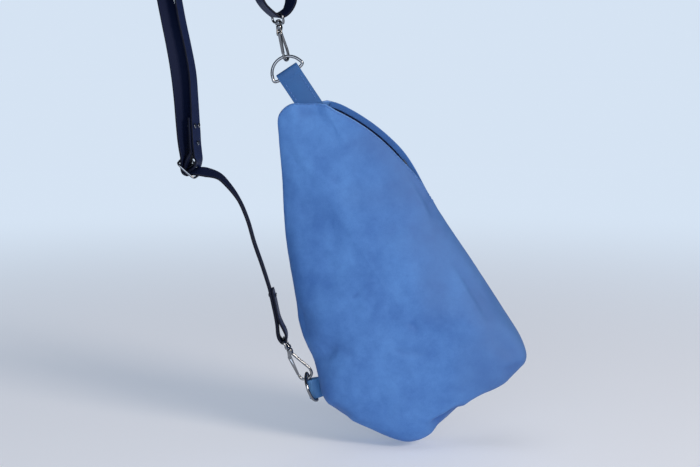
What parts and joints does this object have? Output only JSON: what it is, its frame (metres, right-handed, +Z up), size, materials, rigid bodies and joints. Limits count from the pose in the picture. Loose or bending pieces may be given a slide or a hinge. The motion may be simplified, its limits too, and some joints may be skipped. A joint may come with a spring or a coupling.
{
  "type": "sling backpack",
  "caption": "Drop-shaped leather sling backpack with a zip along its upper edge and one adjustable strap that swivel hooks clip to D-rings at the top and the lower side.",
  "frame": {"origin": "middle of the flat of the back panel, which lies against the wearer's back", "axes": "+Z up as the bag hangs, +Y out of the back panel towards the wearer, +X to the right seen from the front"},
  "size_m": [0.3874, 0.0679, 0.6242],
  "materials": {
    "body_leather": "matt nubuck",
    "strap_leather": "smooth, satin",
    "lining": "plain weave",
    "zip_tape": "twill tape",
    "nickel": "polished nickel plate"
  },
  "bodies": {
    "bag": {"front_panel": "body_leather", "lining_front": "lining", "back_panel": "body_leather", "lining_back": "lining", "zip_tape_front": "zip_tape", "zip_teeth_front": "nickel", "zip_tape_back": "zip_tape", "zip_teeth_back": "nickel", "zip_top_stop": "nickel", "zip_bottom_stop": "nickel", "top_tab": "body_leather", "lower_tab": "body_leather"},
    "slider": {"zip_slider": "nickel"},
    "pull": {"zip_pull": "nickel"},
    "top_ring": {"top_d_ring": "nickel"},
    "lower_ring": {"lower_d_ring": "nickel"},
    "strap": {"strap": "strap_leather", "slide_buckle": "nickel", "buckle_rivet_left": "nickel", "buckle_rivet_right": "nickel", "buckle_rivet_low": "nickel", "loop_rivet": "nickel", "top_hook_bail": "nickel", "lower_hook_bail": "nickel"},
    "top_hook": {"top_hook_body": "nickel", "top_gate_pin": "nickel"},
    "top_gate": {"top_hook_gate": "nickel"},
    "lower_hook": {"lower_hook_body": "nickel", "lower_gate_pin": "nickel"},
    "lower_gate": {"lower_hook_gate": "nickel"}
  },
  "joints": [
    {"name": "slider_run", "type": "hinge", "parent": "bag", "child": "slider", "pos_m": [-0.13531, -0.028, 0.00934], "axis": [0, -1, 0], "range_deg": [0, 28.5]},
    {"name": "pull_lift", "type": "hinge", "parent": "slider", "child": "pull", "pos_m": [0.02919, -0.028, 0.11627], "axis": [0, 1, 0], "range_deg": [0, 120]},
    {"name": "top_ring_turn", "type": "hinge", "parent": "bag", "child": "top_ring", "pos_m": [-0.10228, -0.028, 0.2252], "axis": [0.8339, 0, 0.5519], "range_deg": [-2.5, 3.5]},
    {"name": "lower_ring_turn", "type": "hinge", "parent": "bag", "child": "lower_ring", "pos_m": [-0.07957, -0.028, -0.1051], "axis": [-0.3524, 0, 0.9359], "range_deg": [0, 8]},
    {"name": "strap_swing", "type": "hinge", "parent": "bag", "child": "strap", "pos_m": [-0.09576, -0.03096, 0.07553], "axis": [-0.0577, 0, 0.9983], "range_deg": [-12, 8]},
    {"name": "top_swivel", "type": "hinge", "parent": "strap", "child": "top_hook", "pos_m": [-0.11228, -0.03612, 0.27524], "axis": [-0.1822, -0.1707, 0.9683], "range_deg": [-12, 12]},
    {"name": "top_gate_open", "type": "hinge", "parent": "top_hook", "child": "top_gate", "pos_m": [-0.11166, -0.03789, 0.26626], "axis": [0.9452, -0.3019, 0.1247], "range_deg": [0, 25], "stiffness_Nm_per_rad": 0.012, "springref_deg": -14.32},
    {"name": "lower_swivel", "type": "hinge", "parent": "strap", "child": "lower_hook", "pos_m": [-0.10416, -0.03392, -0.06332], "axis": [-0.4695, 0, 0.8829], "range_deg": [-8, 3]},
    {"name": "lower_gate_open", "type": "hinge", "parent": "lower_hook", "child": "lower_gate", "pos_m": [-0.10321, -0.03392, -0.07244], "axis": [0, -1, 0], "range_deg": [0, 25], "stiffness_Nm_per_rad": 0.012, "springref_deg": -14.32}
  ]
}
